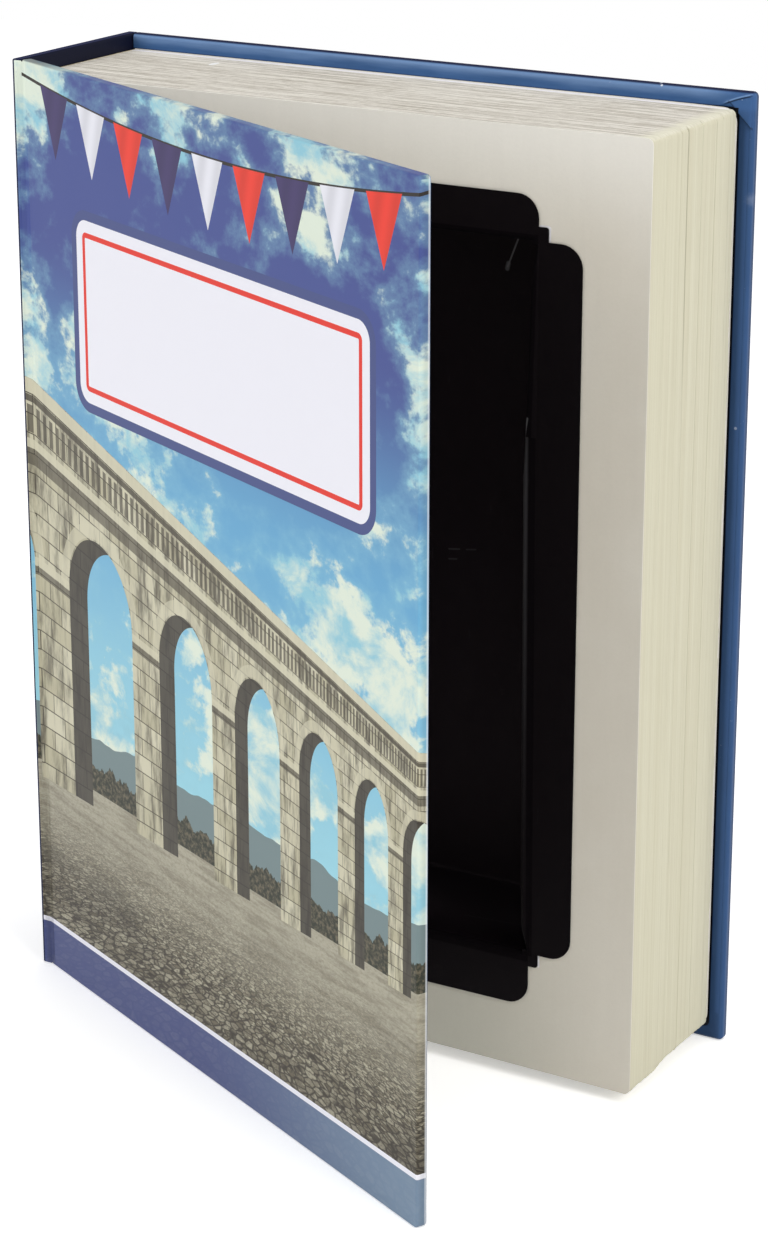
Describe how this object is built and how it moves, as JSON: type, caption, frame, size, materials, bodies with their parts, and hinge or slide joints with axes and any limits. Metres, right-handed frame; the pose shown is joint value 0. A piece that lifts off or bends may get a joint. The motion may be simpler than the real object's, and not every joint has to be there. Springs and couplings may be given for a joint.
{
  "type": "book diversion safe",
  "caption": "Hard-cover book of real pages with a lined rectangular hollow cut into them, its front cover turning on a paper fold along the spine.",
  "frame": {"origin": "middle of the foot of the spine panel, on the surface that the upright book stands on", "axes": "+X from the spine to the fore-edge, +Y from the front cover to the back cover, +Z from foot to head"},
  "size_m": [0.1762, 0.1263, 0.24],
  "materials": {
    "printed_paper": "gloss-laminated print",
    "blue_paper": "satin-laminated",
    "navy_paper": "satin-laminated",
    "grey_board": "matt pressed board",
    "white_paper": "matt",
    "card_page": "smooth matt card",
    "page_paper": "matt, trimmed edges",
    "dry_glue": "dried glue",
    "spine_cloth": "open weave",
    "black_liner": "satin black sheet"
  },
  "bodies": {
    "book": {"spine_paper": "navy_paper", "spine_board": "grey_board", "back_cover_paper": "blue_paper", "back_board": "grey_board", "back_pastedown": "white_paper", "spine_glue": "dry_glue", "spine_lining": "spine_cloth", "window_page": "card_page", "page_section_01": "page_paper", "page_section_02": "page_paper", "page_section_03": "page_paper", "page_section_04": "page_paper", "page_section_05": "page_paper", "page_section_06": "page_paper", "page_section_07": "page_paper", "page_section_08": "page_paper", "page_section_09": "page_paper", "page_section_10": "page_paper", "page_section_11": "page_paper", "page_section_12": "page_paper", "back_flyleaf": "white_paper", "cavity_liner": "black_liner"},
    "front_cover": {"front_cover_paper": "printed_paper", "front_board": "grey_board", "front_pastedown": "white_paper"}
  },
  "joints": [
    {"name": "front_cover_fold", "type": "hinge", "parent": "book", "child": "front_cover", "pos_m": [0.0016, -0.02538, 0], "axis": [0, 0, -1], "range_deg": [-26, 154]}
  ]
}
